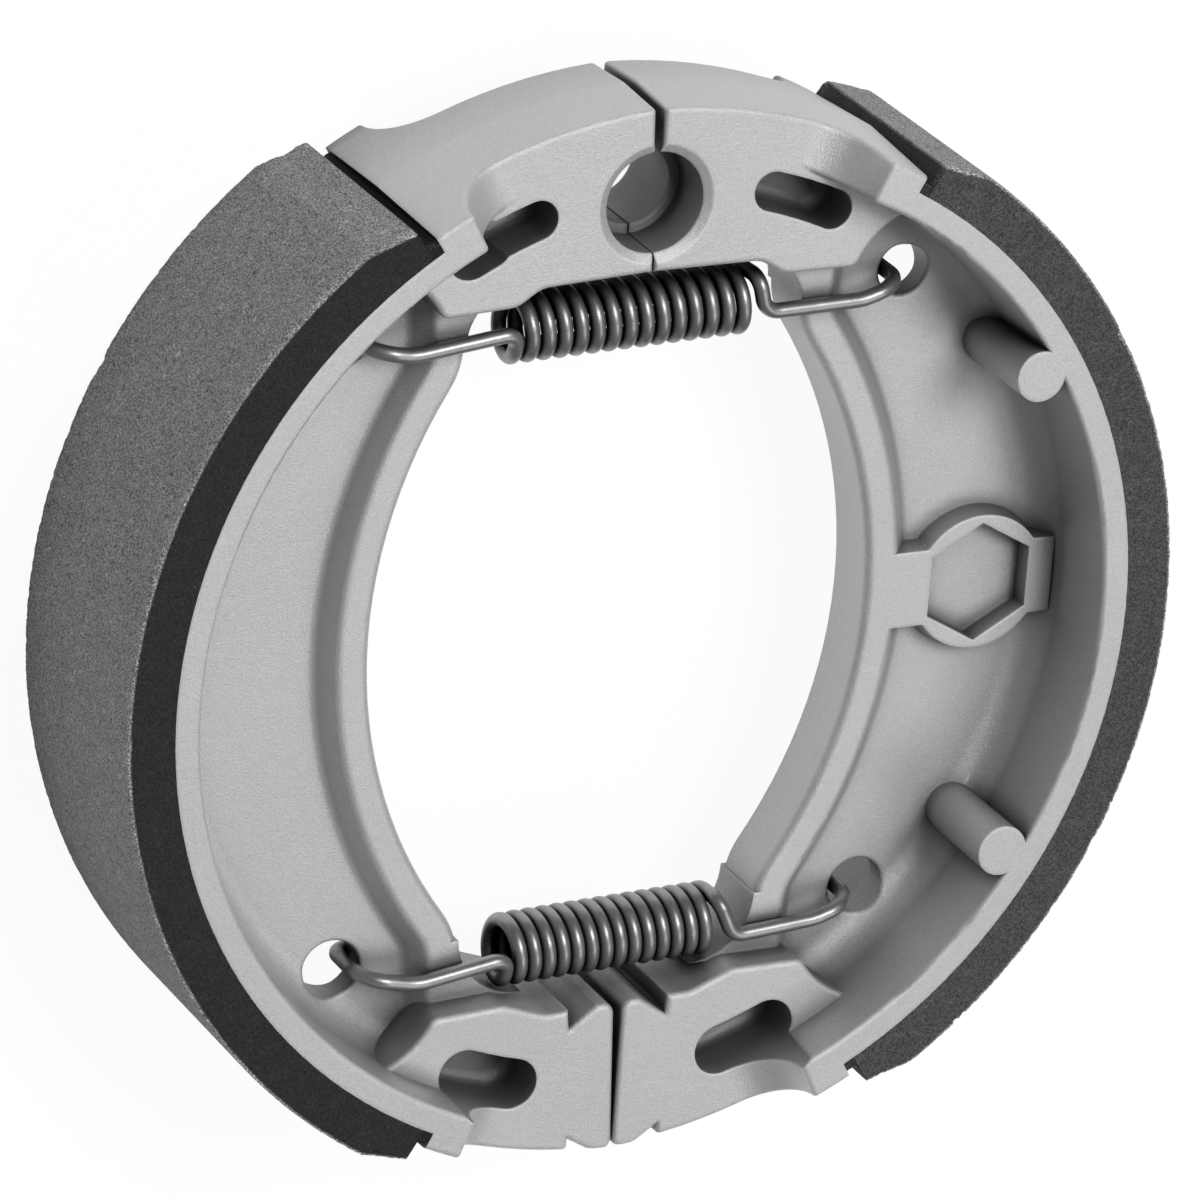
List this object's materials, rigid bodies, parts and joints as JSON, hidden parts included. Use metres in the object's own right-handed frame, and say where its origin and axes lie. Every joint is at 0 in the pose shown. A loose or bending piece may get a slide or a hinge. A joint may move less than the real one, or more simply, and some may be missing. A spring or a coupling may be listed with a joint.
{
  "type": "drum brake shoe set",
  "caption": "Drum brake shoe set: two curved cast shoes with bonded friction linings, hinged at an anchor pin seat and pulled shut by hooked coil springs.",
  "frame": {"origin": "on the brake axis, half way through the shoes' width, which is also the centre of the part's box", "axes": "+X across the pair towards the right shoe, +Y towards the pivot end, +Z along the brake axis towards the front, where the hexagon boss of the right shoe is"},
  "size_m": [0.1066, 0.1054, 0.025],
  "materials": {
    "casting": "matte blasted casting",
    "lining": "rough friction compound",
    "spring": "dark oiled spring wire"
  },
  "bodies": {
    "left": {"left_shoe": "casting", "left_lining": "lining", "upper_spring": "spring", "lower_spring": "spring"},
    "right": {"right_shoe": "casting", "right_lining": "lining"}
  },
  "joints": [
    {"name": "shoe_pivot", "type": "hinge", "parent": "left", "child": "right", "pos_m": [0, 0.0364, 0], "axis": [0, 0, 1], "range_deg": [0, 3.1], "stiffness_Nm_per_rad": 2, "deforming": ["upper_spring", "lower_spring"]}
  ]
}
